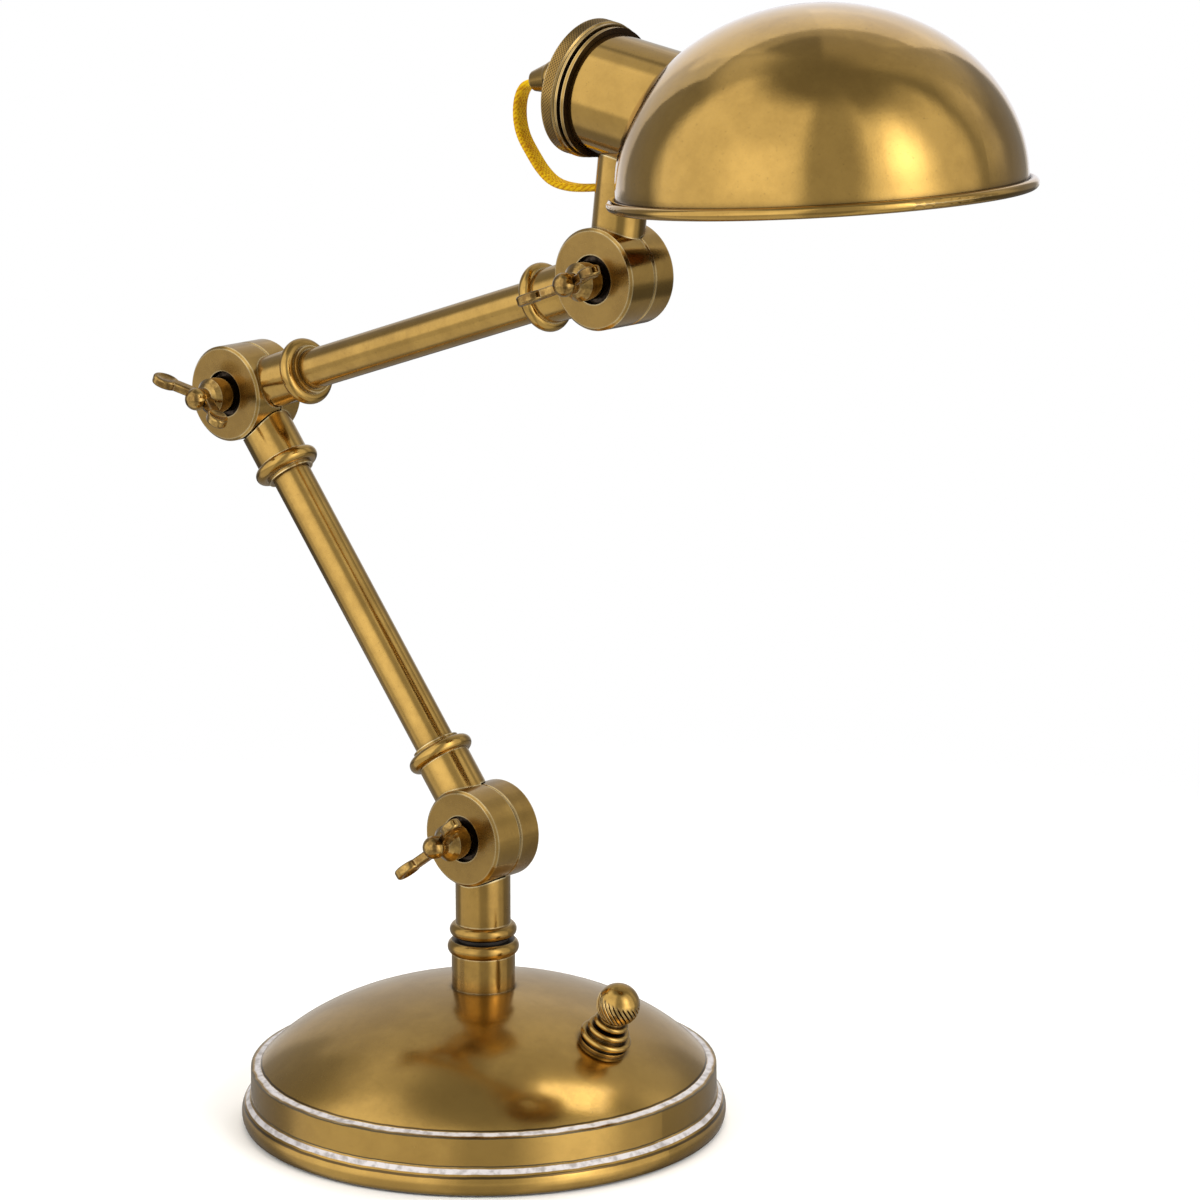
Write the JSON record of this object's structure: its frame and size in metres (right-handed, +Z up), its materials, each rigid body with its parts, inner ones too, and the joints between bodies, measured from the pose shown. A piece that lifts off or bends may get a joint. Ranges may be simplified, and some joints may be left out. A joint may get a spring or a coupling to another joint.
{
  "type": "task lamp",
  "caption": "Jointed brass task lamp: weighted round base with a switch, swivelling stem, arms on wing-nut knuckles and a half-round tilting shade.",
  "frame": {"origin": "centre of the base's underside, on the table", "axes": "+Z up, +X from the stem towards the shade at rest, knuckle axes along Y with the wing nuts on the -Y side"},
  "size_m": [0.3085, 0.1524, 0.3575],
  "materials": {
    "aged_brass": "hand-rubbed antique, semi-gloss",
    "steel": "plain",
    "iron": "as cast",
    "felt": "felt",
    "rubber_bush": "matt",
    "fabric_lead": "braided cover",
    "dark_plastic": "moulded",
    "bulb_glass": "pearl"
  },
  "bodies": {
    "base": {"base_shell": "aged_brass", "base_weight": "iron", "base_plate": "steel", "felt_pad": "felt", "plate_screws": "steel", "cord_bush": "rubber_bush", "stem_post": "aged_brass", "stem_nipple": "steel", "stem_washer": "steel", "stem_nut": "steel", "swivel_washer": "dark_plastic", "switch_body": "dark_plastic", "switch_washer": "aged_brass", "switch_nut": "aged_brass"},
    "switch": {"switch_knob": "aged_brass"},
    "stem": {"stem_neck": "aged_brass", "base_pivot_screw": "steel", "base_friction_disc": "dark_plastic"},
    "lower_arm": {"lower_arm_foot": "aged_brass", "lower_arm_tube": "aged_brass", "lower_arm_top": "aged_brass", "base_nut_washer": "steel", "elbow_pivot_screw": "steel", "elbow_friction_disc": "dark_plastic", "lower_arm_lead": "fabric_lead", "lower_lead_bushes": "dark_plastic"},
    "upper_arm": {"upper_arm_foot": "aged_brass", "upper_arm_tube": "aged_brass", "upper_arm_top": "aged_brass", "elbow_nut_washer": "steel", "head_pivot_screw": "steel", "head_friction_disc": "dark_plastic", "upper_arm_lead": "fabric_lead", "upper_lead_bushes": "dark_plastic"},
    "head": {"head_post": "aged_brass", "head_nut_washer": "steel", "socket_neck": "aged_brass", "socket_cap": "aged_brass", "lead_bush": "aged_brass", "head_lead": "fabric_lead", "shade": "aged_brass", "shade_rim": "aged_brass", "lamp_socket": "dark_plastic", "socket_ring": "dark_plastic", "bulb_cap": "steel", "bulb_glass": "bulb_glass"},
    "base_nut": {"base_wing_nut": "aged_brass"},
    "elbow_nut": {"elbow_wing_nut": "aged_brass"},
    "head_nut": {"head_wing_nut": "aged_brass"}
  },
  "joints": [
    {"name": "switch_turn", "type": "hinge", "parent": "base", "child": "switch", "pos_m": [0.04797, 0.00168, 0.03383], "axis": [0.4024, 0.0141, 0.9154], "range_deg": [0, 270]},
    {"name": "stem_swivel", "type": "hinge", "parent": "base", "child": "stem", "pos_m": [0, 0, 0.09245], "axis": [0, 0, 1], "range_deg": [-175, 175]},
    {"name": "base_knuckle", "type": "hinge", "parent": "stem", "child": "lower_arm", "pos_m": [0, 0, 0.09245], "axis": [0, 1, 0], "range_deg": [-30, 50]},
    {"name": "elbow_knuckle", "type": "hinge", "parent": "lower_arm", "child": "upper_arm", "pos_m": [-0.1008, 0, 0.22054], "axis": [0, 1, 0], "range_deg": [-110, 2]},
    {"name": "head_knuckle", "type": "hinge", "parent": "upper_arm", "child": "head", "pos_m": [0.05369, 0, 0.27254], "axis": [0, 1, 0], "range_deg": [-35, 50]},
    {"name": "base_nut_turn", "type": "hinge", "parent": "stem", "child": "base_nut", "pos_m": [0, 0, 0.09245], "axis": [0, -1, 0], "range_deg": [0, 180]},
    {"name": "elbow_nut_turn", "type": "hinge", "parent": "lower_arm", "child": "elbow_nut", "pos_m": [-0.1008, 0, 0.22054], "axis": [0, -1, 0], "range_deg": [0, 180]},
    {"name": "head_nut_turn", "type": "hinge", "parent": "upper_arm", "child": "head_nut", "pos_m": [0.05369, 0, 0.27254], "axis": [0, -1, 0], "range_deg": [0, 180]}
  ]
}
